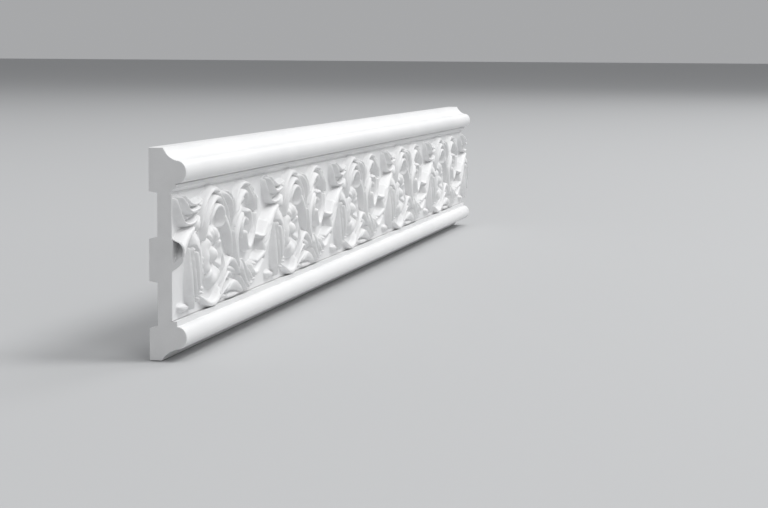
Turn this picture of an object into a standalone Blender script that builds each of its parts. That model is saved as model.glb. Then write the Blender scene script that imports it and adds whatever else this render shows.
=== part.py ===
"""Plaster frieze section, cast in one piece and cut square at both ends.

A slab with a roll along its top edge and its bottom edge, two shallow recesses in its back,
and a sunk band between the rolls that carries a running scroll: a rosette under a leaf hood,
a spiral with its leaves, and a trumpet calyx with a hanging bell flower, over and over.

X runs along the moulding, the wall is the plane Y = 0 and the front faces -Y. The origin lies
in the middle of the length, on the back of the middle rib.
"""

import math

import bmesh
import bpy
from mathutils import Matrix, Vector

MM = 0.001

# Driving sizes, in millimetres
LENGTH = 1030.0
HEIGHT = 135.0
PITCH = 200.0
FIRST_ROSETTE = 75.0
TRIM = 12.0

# Section of the slab: depth is measured out from the wall, height up from the bottom edge
MOUNT_HEIGHT = 64.0
EDGE_LOW = 7.8
EDGE_HIGH = 9.6
FIELD_DEPTH = 15.2
FIELD_LOW = 25.6
FIELD_HIGH = 106.6
ORNAMENT_MIDDLE = 65.8
FILLET_DEPTH = 18.4
FILLET_HIGH = 109.9
GROOVE_DEPTH = 14.0
GROOVE_HEIGHT = 1.2
ROLL_OUT = 6.4
ROLL_HALF = 7.3
ROLL_LOW = 14.8
ROLL_HIGH = 119.8
ROLL_STEPS = 8
HOLLOW_SAG = 1.4
HOLLOW_STEPS = 3

# Back recesses as (lower edge, upper edge) at the wall, with their depth and sloping sides
RECESSES = ((20.5, 50.5), (77.4, 107.4))
RECESS_DEPTH = 5.5
RECESS_SLOPE = 1.6

# Relief: each shape's foot goes a little deeper into the field than the last one's
SINK = 2.0
SINK_STEP = 0.07
THINNEST = 0.25
LOWEST = 0.6
ROSETTE_CENTRE = (0.0, -5.2)
PETAL_RADIUS = 15.0
PETAL_HALF_WIDTH = 6.2
PETAL_RISE = 5.6
PETAL_FALL = 1.0
PETAL_WAIST = 0.12
PETAL_SPREAD = math.radians(39)
BOSS_RADII = (4.8, 5.6)
BOSS_RISE = 6.8

# Tidying of the finished mesh
SLIVER = 0.02
FACE_SHARE = 0.68

# Cross sections: (share of the half width, share of the rise), from the left edge to the right
ROUND = ((-1.0, 0.0), (-0.62, 0.78), (0.0, 1.0), (0.62, 0.78), (1.0, 0.0))
FLAT = ((-1.0, 0.0), (-0.5, 1.0), (0.5, 1.0), (1.0, 0.0))
RIDGE = ((-1.0, 0.0), (0.0, 1.0), (1.0, 0.0))


def swelling_arc(start, end, sag, steps):
    """Points of a shallow curve from start to end that stands out by sag to the left."""
    start, end = Vector(start), Vector(end)
    chord = end - start
    left = Vector((-chord.y, chord.x)).normalized()
    points = []
    for i in range(steps + 1):
        share = i / steps
        points.append(start + chord * share + left * sag * 4 * share * (1 - share))
    return [tuple(point) for point in points]


def roll_arc(height, steps):
    """Points of a roll's front, from its lower edge to its upper edge."""
    points = []
    for i in range(steps + 1):
        angle = math.pi * (i / steps - 0.5)
        points.append((FILLET_DEPTH + ROLL_OUT * math.cos(angle), height + ROLL_HALF * math.sin(angle)))
    return points


def section_outline():
    """The slab's section as (depth, height) points, up the front and down the back."""
    low_roll = roll_arc(ROLL_LOW, ROLL_STEPS)
    high_roll = roll_arc(ROLL_HIGH, ROLL_STEPS)
    points = swelling_arc((EDGE_LOW, 0.0), low_roll[0], HOLLOW_SAG, HOLLOW_STEPS)
    points += low_roll[1:]
    points += [(FILLET_DEPTH, FIELD_LOW), (GROOVE_DEPTH, FIELD_LOW), (FIELD_DEPTH, FIELD_LOW + GROOVE_HEIGHT)]
    points += [(FIELD_DEPTH, FIELD_HIGH), (FILLET_DEPTH, FILLET_HIGH)]
    points += high_roll
    points += swelling_arc(high_roll[-1], (EDGE_HIGH, HEIGHT), HOLLOW_SAG, HOLLOW_STEPS)[1:]
    points.append((0.0, HEIGHT))
    for low, high in reversed(RECESSES):
        points.append((0.0, high))
        points.append((RECESS_DEPTH, high - RECESS_SLOPE / 2))
        points.append((RECESS_DEPTH, low + RECESS_SLOPE))
        points.append((0.0, low))
    points.append((0.0, 0.0))
    return points


def place(along, up, depth):
    """A point of the frieze: along from the near end, up from the bottom, depth from the wall."""
    return Vector(((along - LENGTH / 2) * MM, -depth * MM, (up - MOUNT_HEIGHT) * MM))


def plaster():
    """White plaster, matt and slightly warm."""
    material = bpy.data.materials.new("plaster")
    material.use_nodes = True
    shader = material.node_tree.nodes["Principled BSDF"]
    shader.inputs["Base Color"].default_value = (0.86, 0.86, 0.85, 1.0)
    shader.inputs["Roughness"].default_value = 0.7
    shader.inputs["Metallic"].default_value = 0.0
    return material


def slab(collection):
    """The moulding without its relief, a little longer than the finished length."""
    curve = bpy.data.curves.new("slab_outline", "CURVE")
    curve.dimensions = "2D"
    curve.fill_mode = "BOTH"
    curve.extrude = (LENGTH / 2 + TRIM) * MM
    outline = section_outline()
    spline = curve.splines.new("POLY")
    spline.points.add(len(outline) - 1)
    for point, (depth, height) in zip(spline.points, outline):
        point.co = (depth * MM, (height - MOUNT_HEIGHT) * MM, 0.0, 1.0)
    spline.use_cyclic_u = True
    guide = bpy.data.objects.new("slab_outline", curve)
    collection.objects.link(guide)
    bpy.context.view_layer.update()
    solid = guide.evaluated_get(bpy.context.evaluated_depsgraph_get())
    mesh = bpy.data.meshes.new_from_object(solid)
    bpy.data.objects.remove(guide)
    stand = Matrix(((0, 0, -1, 0), (-1, 0, 0, 0), (0, 1, 0, 0), (0, 0, 0, 1)))
    shape = bmesh.new()
    shape.from_mesh(mesh)
    bmesh.ops.remove_doubles(shape, verts=shape.verts, dist=1e-6)
    bmesh.ops.transform(shape, matrix=stand, verts=shape.verts)
    bmesh.ops.recalc_face_normals(shape, faces=shape.faces)
    shape.to_mesh(mesh)
    shape.free()
    return mesh


def smooth(stations, count):
    """Catmull-Rom values at count places along a list of stations."""
    last = len(stations) - 1
    values = []
    for i in range(count):
        where = last * i / (count - 1)
        span = min(int(where), last - 1)
        t = where - span
        before = stations[max(span - 1, 0)]
        start = stations[span]
        end = stations[span + 1]
        after = stations[min(span + 2, last)]
        value = []
        for a, b, c, d in zip(before, start, end, after):
            curve = 2 * b + (c - a) * t + (2 * a - 5 * b + 4 * c - d) * t * t
            value.append(0.5 * (curve + (3 * b - a - 3 * c + d) * t ** 3))
        values.append(value)
    return values


class Relief:
    """Gathers the closed shapes of one repeat of the ornament, in millimetres from its rosette."""

    def __init__(self):
        self.shape = bmesh.new()
        self.count = 0

    def stroke(self, stations, sections, profile=FLAT, floor=None):
        """A stem or leaf through (along, up, half width, rise) stations, its foot sunk in the field."""
        self.count += 1
        foot = -SINK - SINK_STEP * self.count if floor is None else floor
        rings = []
        values = smooth(stations, sections)
        for i, (along, up, half_width, rise) in enumerate(values):
            before = values[max(i - 1, 0)]
            after = values[min(i + 1, sections - 1)]
            course = Vector((after[0] - before[0], after[1] - before[1])).normalized()
            across = Vector((course.y, -course.x))
            ring = []
            for side, share in profile:
                where = Vector((along, up)) + across * side * max(half_width, THINNEST)
                level = foot if share == 0.0 else max(rise, LOWEST) * share
                ring.append(self.shape.verts.new((where.x, where.y, level)))
            rings.append(ring)
        size = len(profile)
        for near, far in zip(rings, rings[1:]):
            for j in range(size):
                k = (j + 1) % size
                self.shape.faces.new((near[j], near[k], far[k], far[j]))
        self.shape.faces.new(list(reversed(rings[0])))
        self.shape.faces.new(rings[-1])

    def dome(self, centre, radii, rise, segments=8, rings=6):
        """A round boss or ball, half sunk in the field."""
        self.count += 1
        across, up = radii
        scale = Matrix.Diagonal((across, up, rise, 1.0))
        move = Matrix.Translation((centre[0], centre[1], 0.0))
        bmesh.ops.create_uvsphere(
            self.shape, u_segments=segments, v_segments=rings, radius=1.0, matrix=move @ scale)

    def finish(self, name):
        bmesh.ops.recalc_face_normals(self.shape, faces=self.shape.faces)
        mesh = bpy.data.meshes.new(name)
        self.shape.to_mesh(mesh)
        self.shape.free()
        return mesh


def rosette(relief):
    """Four cupped petals round a boss."""
    middle_x, middle_y = ROSETTE_CENTRE
    for quarter in range(4):
        stations = []
        for turn in (-1.0, -0.5, 0.0, 0.5, 1.0):
            angle = math.radians(90 * quarter) + PETAL_SPREAD * turn
            swell = 1.0 - PETAL_WAIST * turn ** 4
            along = middle_x + PETAL_RADIUS * swell * math.cos(angle)
            up = middle_y + PETAL_RADIUS * swell * math.sin(angle)
            stations.append((along, up, PETAL_HALF_WIDTH, PETAL_RISE - PETAL_FALL * turn * turn))
        relief.stroke(stations, 5)
    relief.dome(ROSETTE_CENTRE, BOSS_RADII, BOSS_RISE)


def ring_stem(relief):
    """The thin stem that passes under the rosette and ends in a blade beside it."""
    relief.stroke([(-26.5, -30.0, 1.3, 3.0), (-15.7, -35.2, 2.0, 4.5), (-4.0, -37.8, 2.4, 5.0),
                   (8.0, -36.6, 2.6, 5.2), (16.0, -30.5, 2.4, 5.5), (20.6, -20.0, 2.0, 5.0),
                   (22.2, -10.0, 1.5, 4.0), (19.3, -1.5, 0.3, 2.0)], 10)


def hood(relief):
    """The large leaf that arches over the rosette, in parallel lobes."""
    relief.stroke([(46.0, -11.0, 0.5, 2.5), (38.5, 4.5, 2.2, 4.8), (30.5, 17.0, 2.8, 5.6),
                   (17.0, 31.5, 3.0, 5.8), (1.0, 37.2, 3.0, 5.8), (-13.5, 34.0, 3.0, 5.8),
                   (-23.5, 25.0, 2.6, 5.4), (-27.7, 15.0, 1.0, 4.0)], 11)
    relief.stroke([(41.5, -3.5, 0.8, 3.0), (31.5, 11.5, 2.8, 6.0), (20.0, 25.0, 2.8, 6.6),
                   (4.0, 32.0, 2.8, 6.8), (-9.0, 28.0, 2.8, 6.6), (-17.5, 17.5, 2.6, 6.0),
                   (-20.4, 5.8, 1.0, 4.0)], 9)
    relief.stroke([(36.0, 3.5, 1.5, 4.5), (26.0, 13.5, 3.8, 6.6), (16.0, 23.5, 3.0, 7.0),
                   (4.0, 26.5, 2.6, 6.8), (-5.5, 22.5, 2.2, 6.2), (-9.2, 16.8, 0.8, 4.8)], 7)
    relief.stroke([(15.5, 25.0, 1.5, 6.8), (18.0, 20.5, 2.0, 7.0), (15.0, 15.5, 1.0, 5.6)], 4, RIDGE)


def spray(relief):
    """The stem that rises from the joint beside the spiral and ends in two fronds."""
    relief.stroke([(62.0, -26.5, 1.2, 5.0), (54.0, -17.5, 1.6, 5.5), (48.0, -6.0, 2.0, 5.5),
                   (44.8, 6.0, 2.8, 5.5), (43.0, 18.0, 3.0, 6.0), (39.3, 27.5, 2.8, 6.0),
                   (33.5, 33.2, 2.4, 5.5), (28.8, 34.2, 1.6, 4.0)], 10)
    relief.stroke([(45.2, 8.0, 1.5, 5.0), (46.0, 20.0, 2.0, 6.0), (46.5, 27.0, 1.8, 5.5),
                   (45.8, 32.0, 0.6, 4.0)], 4, RIDGE)


def spiral(relief):
    """The ring of the spiral and the bud it winds in to."""
    relief.stroke([(60.0, -23.0, 1.0, 4.5), (52.5, -13.5, 1.6, 5.0), (49.4, -2.0, 2.0, 5.0),
                   (50.6, 9.0, 2.2, 5.0), (52.0, 22.0, 2.2, 4.5), (60.0, 33.0, 2.2, 4.5),
                   (70.8, 37.2, 2.2, 4.5), (81.5, 36.6, 2.3, 5.0), (91.0, 30.0, 2.4, 5.2),
                   (96.6, 18.5, 2.4, 5.2), (95.8, 5.0, 2.5, 5.2), (88.5, -5.8, 2.8, 5.4),
                   (79.0, -8.2, 3.2, 5.8), (72.5, -3.5, 3.4, 6.6), (70.8, 3.0, 2.4, 6.4)], 20)
    relief.stroke([(77.5, 20.5, 1.2, 4.5), (82.5, 19.0, 2.2, 6.2), (85.2, 11.5, 2.3, 6.4),
                   (82.0, 2.8, 0.8, 4.0)], 5)
    relief.stroke([(72.2, 16.2, 1.2, 5.5), (75.5, 9.6, 2.0, 6.8)], 2)
    relief.stroke([(66.0, 4.0, 1.0, 4.5), (67.2, 11.0, 1.7, 5.5), (71.5, 15.0, 1.0, 5.0)], 3, RIDGE)


def spiral_leaves(relief):
    """Leaves that spring from the inside and the outside of the spiral's ring."""
    relief.stroke([(46.5, 8.0, 1.0, 4.5), (49.5, 19.0, 1.8, 6.0), (57.0, 28.5, 2.4, 6.8),
                   (67.0, 32.4, 2.6, 7.0), (73.5, 30.5, 2.2, 6.5), (75.8, 25.5, 0.8, 4.0)], 7)
    relief.stroke([(48.0, 5.0, 1.0, 4.5), (52.0, 17.5, 1.8, 6.0), (59.5, 24.5, 2.0, 6.5),
                   (68.0, 25.8, 0.8, 4.0)], 5, RIDGE)
    relief.stroke([(49.0, 2.0, 1.0, 4.5), (53.0, 12.0, 2.0, 6.0), (59.5, 17.6, 2.2, 6.4),
                   (66.8, 17.4, 1.2, 5.0)], 5)
    for lean, tip, reach in ((0.0, 84.2, 34.6), (1.6, 88.4, 35.2), (3.0, 92.6, 34.4)):
        relief.stroke([(97.0, 13.0 + lean, 0.8, 5.0), (93.6 + lean, 24.0, 1.6, 7.0),
                       (tip, reach, 0.7, 4.5)], 4, RIDGE)
    relief.stroke([(92.6, 34.4, 1.6, 4.5), (98.2, 29.2, 1.8, 4.5), (104.0, 25.2, 1.4, 3.5),
                   (112.5, 25.8, 0.4, 1.8)], 5, RIDGE)


def joint_leaves(relief):
    """The leaf wrapped round the joint at the bottom, in four parallel blades."""
    blades = (((59.0, -25.5), (70.0, -35.4), (88.0, -37.2)),
              ((61.0, -20.5), (70.0, -31.2), (87.0, -35.2)),
              ((64.0, -14.6), (73.0, -27.6), (90.0, -33.4)),
              ((73.0, -19.2), (81.0, -27.4), (93.0, -30.6)))
    for number, blade in enumerate(blades):
        widths = (0.8, 2.1, 1.6)
        rises = (4.0, 6.8 + 0.3 * number, 6.2)
        relief.stroke([(*spot, width, rise) for spot, width, rise in zip(blade, widths, rises)], 4, RIDGE)


def calyx(relief):
    """The trumpet that opens to the left and carries the stem on to the next hood."""
    relief.stroke([(80.0, -36.0, 2.8, 5.0), (93.0, -33.0, 4.6, 6.6), (103.0, -25.5, 6.2, 7.6),
                   (111.0, -14.5, 6.6, 8.2), (118.0, -4.0, 7.4, 8.6), (125.5, 5.0, 6.6, 8.6),
                   (134.5, 11.4, 4.6, 8.0), (146.0, 14.8, 2.9, 7.0), (158.5, 16.0, 1.9, 6.0)], 11, ROUND)
    relief.stroke([(118.5, 3.0, 4.6, 7.8), (110.0, 1.2, 2.6, 6.8), (102.0, -0.2, 0.5, 4.5)], 3)
    relief.stroke([(88.0, -23.0, 2.0, 5.0), (92.5, -26.4, 2.4, 6.5), (100.0, -21.5, 3.6, 8.0),
                   (108.0, -16.5, 3.2, 8.4)], 5)
    relief.dome((93.6, -21.2), (3.4, 3.0), 7.6, 6, 4)


def top_leaf(relief):
    """The folded leaf along the top, from the hood's tip back over the calyx."""
    relief.stroke([(124.6, 37.0, 0.8, 4.0), (125.6, 31.0, 1.3, 5.0), (130.5, 24.2, 1.5, 5.6),
                   (139.5, 20.2, 1.6, 6.0), (151.0, 19.6, 1.7, 6.2), (162.0, 22.2, 1.8, 6.0),
                   (170.0, 26.5, 1.2, 4.5)], 8, RIDGE)
    relief.stroke([(130.8, 37.4, 0.7, 4.5), (137.5, 30.6, 2.0, 7.0), (151.0, 26.8, 2.2, 7.0),
                   (163.0, 27.6, 2.2, 6.8), (172.0, 30.5, 1.2, 5.0)], 6)
    relief.stroke([(138.5, 36.0, 0.6, 4.0), (148.0, 31.6, 1.7, 6.4), (160.0, 31.4, 1.8, 6.2),
                   (171.0, 33.0, 1.0, 4.5)], 4, RIDGE)


def knot(relief):
    """The node where the calyx's stem meets the next hood."""
    relief.stroke([(157.0, 14.0, 2.4, 6.0), (161.5, 17.5, 3.0, 7.4), (166.0, 22.0, 2.6, 6.0)], 3)


def bell(relief):
    """The bell flower that hangs from the knot, with two stamens at its mouth."""
    relief.stroke([(158.0, 12.0, 1.6, 5.0), (157.8, 7.0, 5.4, 7.2), (158.2, -3.0, 8.0, 8.2),
                   (159.4, -14.0, 8.2, 8.2), (160.8, -24.0, 5.8, 7.4), (161.8, -28.5, 1.6, 6.4)], 7, ROUND)
    relief.stroke([(149.6, -6.0, 1.2, 5.0), (149.0, -18.0, 2.2, 7.2), (151.0, -28.0, 2.2, 7.2),
                   (157.5, -37.2, 0.7, 4.5)], 5)
    relief.stroke([(164.5, -4.0, 1.6, 6.0), (168.2, -13.0, 3.0, 7.4), (169.6, -22.5, 0.8, 6.0)], 3, RIDGE)
    relief.stroke([(167.0, -6.0, 2.0, 5.0), (173.0, -14.0, 3.6, 6.6), (180.5, -20.0, 0.9, 4.0)], 4)
    relief.dome((164.4, -31.2), (2.3, 2.9), 7.0, 6, 4)
    relief.dome((170.2, -28.0), (2.2, 2.8), 7.2, 6, 4)
    relief.dome((178.0, -25.6), (3.2, 3.0), 4.6, 6, 4)


def fallen_bud(relief):
    """The small bud that lies on the field below the bell."""
    relief.stroke([(131.5, -33.0, 1.0, 2.6), (137.0, -33.8, 3.1, 4.4), (145.0, -34.2, 2.8, 3.8),
                   (151.0, -34.6, 1.2, 2.0)], 5)


def low_leaves(relief):
    """The leaves that spring back from the joint below the hood and run into the ring stem."""
    relief.stroke([(58.5, -26.5, 0.8, 4.0), (50.0, -19.8, 2.4, 5.6), (39.5, -14.6, 3.0, 6.6),
                   (28.5, -17.0, 3.0, 6.6), (20.0, -25.0, 2.6, 6.0), (13.0, -34.0, 1.2, 4.5)], 7)
    relief.stroke([(15.0, -33.0, 1.4, 4.5), (24.0, -24.5, 2.4, 6.0), (32.5, -20.8, 2.0, 6.0),
                   (40.0, -25.8, 0.7, 3.5)], 5, RIDGE)
    relief.stroke([(66.0, -32.0, 1.2, 4.0), (56.0, -32.6, 4.2, 5.2), (45.0, -33.2, 5.0, 5.6),
                   (36.5, -33.8, 4.4, 5.4), (31.5, -36.0, 1.6, 4.0)], 6)
    relief.stroke([(14.0, -37.6, 0.8, 3.5), (23.0, -32.6, 1.8, 5.0), (34.0, -28.8, 0.9, 5.0)], 3, RIDGE)
    relief.dome((24.6, -37.0), (3.0, 2.4), 4.4, 6, 4)


def ornament():
    """One repeat of the scroll as a mesh of closed shapes."""
    relief = Relief()
    for part in (rosette, ring_stem, hood, spray, spiral, spiral_leaves, joint_leaves, calyx,
                 top_leaf, knot, bell, fallen_bud, low_leaves):
        part(relief)
    return relief.finish("ornament")


def calyx_hollow():
    """The hollow inside the trumpet, which shows where the near end cuts the trumpet through."""
    relief = Relief()
    relief.stroke([(115.0, -7.5, 5.4, 7.0), (121.5, 0.0, 5.4, 7.2), (128.5, 6.6, 3.8, 6.6),
                   (136.5, 11.4, 1.8, 5.4)], 5, ROUND, floor=0.8)
    return relief.finish("calyx_hollow")


def lay_repeats(mesh, repeats):
    """Copies of the ornament laid side by side on the field, without what the ends cut off whole."""
    laid = bmesh.new()
    lift = Matrix(((1, 0, 0, 0), (0, 0, -1, 0), (0, 1, 0, 0), (0, 0, 0, 1)))
    for repeat in repeats:
        start = len(laid.verts)
        laid.from_mesh(mesh)
        laid.verts.ensure_lookup_table()
        origin = place(FIRST_ROSETTE + PITCH * repeat, ORNAMENT_MIDDLE, FIELD_DEPTH)
        stand = Matrix.Translation(origin) @ lift @ Matrix.Scale(MM, 4)
        bmesh.ops.transform(laid, matrix=stand, verts=laid.verts[start:])
    reach = (LENGTH / 2 + TRIM / 2) * MM
    drop_shapes_beyond(laid, reach)
    result = bpy.data.meshes.new(mesh.name + "_run")
    laid.to_mesh(result)
    laid.free()
    return result


def drop_shapes_beyond(shape, reach):
    """Deletes each closed shape that lies wholly beyond the ends."""
    seen = set()
    doomed = []
    for seed in shape.verts:
        if seed in seen:
            continue
        island = [seed]
        seen.add(seed)
        for vert in island:
            for edge in vert.link_edges:
                other = edge.other_vert(vert)
                if other not in seen:
                    seen.add(other)
                    island.append(other)
        if min(v.co.x for v in island) > reach or max(v.co.x for v in island) < -reach:
            doomed += island
    bmesh.ops.delete(shape, geom=doomed, context="VERTS")


def block(low, high):
    """A plain box between two corners."""
    shape = bmesh.new()
    bmesh.ops.create_cube(shape, size=1.0)
    middle = (low + high) / 2
    size = high - low
    stand = Matrix.Translation(middle) @ Matrix.Diagonal((*size, 1.0))
    bmesh.ops.transform(shape, matrix=stand, verts=shape.verts)
    mesh = bpy.data.meshes.new("block")
    shape.to_mesh(mesh)
    shape.free()
    return mesh


def helper(name, mesh, collection):
    """An object that only joins or cuts, and isn't part of the model."""
    item = bpy.data.objects.new(name, mesh)
    item.display_type = "WIRE"
    item.hide_render = True
    collection.objects.link(item)
    return item


def boolean(item, operation, other, own_overlaps=False):
    modifier = item.modifiers.new(other.name, "BOOLEAN")
    modifier.operation = operation
    modifier.solver = "EXACT"
    modifier.object = other
    modifier.use_self = own_overlaps


def thin_out(item):
    """Merges the slivers that the unions leave, and drops faces that add nothing to the form."""
    weld = item.modifiers.new("slivers", "WELD")
    weld.merge_threshold = SLIVER * MM
    decimate = item.modifiers.new("faces", "DECIMATE")
    decimate.decimate_type = "COLLAPSE"
    decimate.ratio = FACE_SHARE
    decimate.use_collapse_triangulate = True


def main():
    for item in list(bpy.data.objects):
        bpy.data.objects.remove(item)
    parts = bpy.data.collections.new("frieze")
    cutters = bpy.data.collections.new("cutters")
    bpy.context.scene.collection.children.link(parts)
    bpy.context.scene.collection.children.link(cutters)

    frieze = bpy.data.objects.new("frieze_section", slab(cutters))
    parts.objects.link(frieze)
    frieze.data.materials.clear()
    frieze.data.materials.append(plaster())

    run = helper("ornament_run", lay_repeats(ornament(), range(-1, 5)), cutters)
    boolean(frieze, "UNION", run, own_overlaps=True)
    corner = Vector((LENGTH / 2, HEIGHT, HEIGHT)) * MM
    kept = helper("kept_length", block(-corner, corner), cutters)
    boolean(kept, "DIFFERENCE", helper("calyx_hollow", lay_repeats(calyx_hollow(), [-1]), cutters))
    boolean(frieze, "INTERSECT", kept)
    thin_out(frieze)


main()
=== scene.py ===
"""Looks of the plaster frieze section: the cast length with all of its carving, and a small studio.

The carving is worked out as a height above the sunk field, in millimetres: u runs along the length from
a rosette's middle line, v runs up from the middle of the ornament. One repeat is drawn with strokes,
whose stations are (u, v, half width, height), and then laid along the whole length.
"""
import math

import bmesh
import bpy
import numpy as np
from mathutils import Matrix, Vector


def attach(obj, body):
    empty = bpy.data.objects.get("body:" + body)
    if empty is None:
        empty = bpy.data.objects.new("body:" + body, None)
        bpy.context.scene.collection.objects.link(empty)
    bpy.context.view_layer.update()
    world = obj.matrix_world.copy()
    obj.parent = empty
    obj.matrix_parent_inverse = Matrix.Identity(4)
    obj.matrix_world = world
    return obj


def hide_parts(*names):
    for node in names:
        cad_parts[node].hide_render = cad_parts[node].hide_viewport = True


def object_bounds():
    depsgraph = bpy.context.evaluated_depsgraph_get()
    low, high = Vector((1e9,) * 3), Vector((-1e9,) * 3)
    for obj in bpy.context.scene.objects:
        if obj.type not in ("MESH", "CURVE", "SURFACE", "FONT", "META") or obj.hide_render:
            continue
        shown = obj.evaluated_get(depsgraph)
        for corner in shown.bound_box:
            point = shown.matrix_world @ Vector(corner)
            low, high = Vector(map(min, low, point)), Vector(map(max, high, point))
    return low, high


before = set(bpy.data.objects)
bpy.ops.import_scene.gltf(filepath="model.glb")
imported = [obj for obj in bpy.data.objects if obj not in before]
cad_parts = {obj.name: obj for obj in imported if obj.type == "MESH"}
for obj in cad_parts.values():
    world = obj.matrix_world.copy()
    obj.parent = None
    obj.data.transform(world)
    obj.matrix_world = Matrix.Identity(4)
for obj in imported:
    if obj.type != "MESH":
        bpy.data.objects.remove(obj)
cad_low, cad_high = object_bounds()

MM = 0.001

# The moulding's sizes in millimetres: depth is measured out from the wall, height up from the bottom edge
LENGTH = 1030.0
HEIGHT = 135.0
MOUNT_HEIGHT = 64.0
PITCH = 200.0
FIRST_ROSETTE = 75.0
EDGE_LOW = 7.8
EDGE_HIGH = 9.6
FIELD_DEPTH = 15.2
FIELD_LOW = 25.6
FIELD_HIGH = 106.6
ORNAMENT_MIDDLE = 65.8
FILLET_DEPTH = 18.4
FILLET_HIGH = 109.9
COVE_BEND = 2.4
CREASE_CUT = 1.1
CREASE_WIDTH = 0.7
GROOVE_DEPTH = 14.0
GROOVE_DROP = 0.6
ROLL_OUT = 6.4
ROLL_HALF = 7.3
ROLL_LOW = 14.8
ROLL_HIGH = 119.8
ROLL_STEPS = 28
HOLLOW_SAG = 1.4
HOLLOW_STEPS = 10
EASE = 0.3

# Back recesses as (lower edge, upper edge) at the wall, with their depth and sloping sides
RECESSES = ((20.5, 50.5), (77.4, 107.4))
RECESS_DEPTH = 5.5
RECESS_SLOPE = 1.6

# The hollow in the near end, as depth and height, and its rings: how far in, their size and their lift
MOUTH = ((15.8, 77.6), (18.4, 76.0), (20.8, 74.2), (21.9, 72.2),
         (22.3, 69.8), (21.6, 66.4), (18.8, 64.6), (15.8, 63.0))
MOUTH_STEPS = 33
MOUTH_RINGS = ((0.0, 1.0, 0.0), (5.0, 0.78, 2.6), (10.0, 0.52, 6.0), (14.0, 0.28, 9.0))

# The grid of the carving: its cell, the stretch of one repeat, and the border that runs out to the field
CELL = 0.4
TILE_START = -45.0
TILE_END = 195.0
BORDER = 1.0
SHEET_TRIANGLES = 180000

# How the carving is cut: the slope of its walls, how strokes spread at the foot, how full their tops and
# the knobs are, how wide and deep the moats beside strokes are, and how high a groove first cuts in full
DRAFT = 4.0
FOOT = 0.16
ROUNDNESS = 3.0
KNOB_FULLNESS = 0.75
MOAT = 1.3
MOAT_SHARE = 0.55
FULL_CUT = 1.5
THINNEST = 0.2
PATH_STEPS = 26
STRAIGHT_STEPS = 8

# The angle in degrees from which an edge shows as sharp: on the plain section, on the carving, and beside
# a broad face, with the area in square metres that makes a face a broad one
SHARP_SECTION = 20
SHARP_CARVING = 34
SHARP_BROAD = 2
BROAD_FACE = 3e-6

# Lengths in metres below which two places are one
SAME_PLACE = 1e-7
NO_LENGTH = 1e-6


def catmull_rom(stations, count):
    """Smooth values at count places along a list of stations."""
    stations = np.array(stations, float)
    last = len(stations) - 1
    where = np.linspace(0, last, count)
    span = np.minimum(where.astype(int), last - 1)
    t = (where - span)[:, None]
    before = stations[np.maximum(span - 1, 0)]
    start = stations[span]
    end = stations[span + 1]
    after = stations[np.minimum(span + 2, last)]
    curve = 2 * start + (end - before) * t + (2 * before - 5 * start + 4 * end - after) * t ** 2
    return 0.5 * (curve + (3 * start - before - 3 * end + after) * t ** 3)


def smoothstep(value, low, high):
    """0 up to low, 1 from high on, and a smooth rise between them."""
    share = np.clip((value - low) / (high - low), 0, 1)
    return share * share * (3 - 2 * share)


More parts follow.
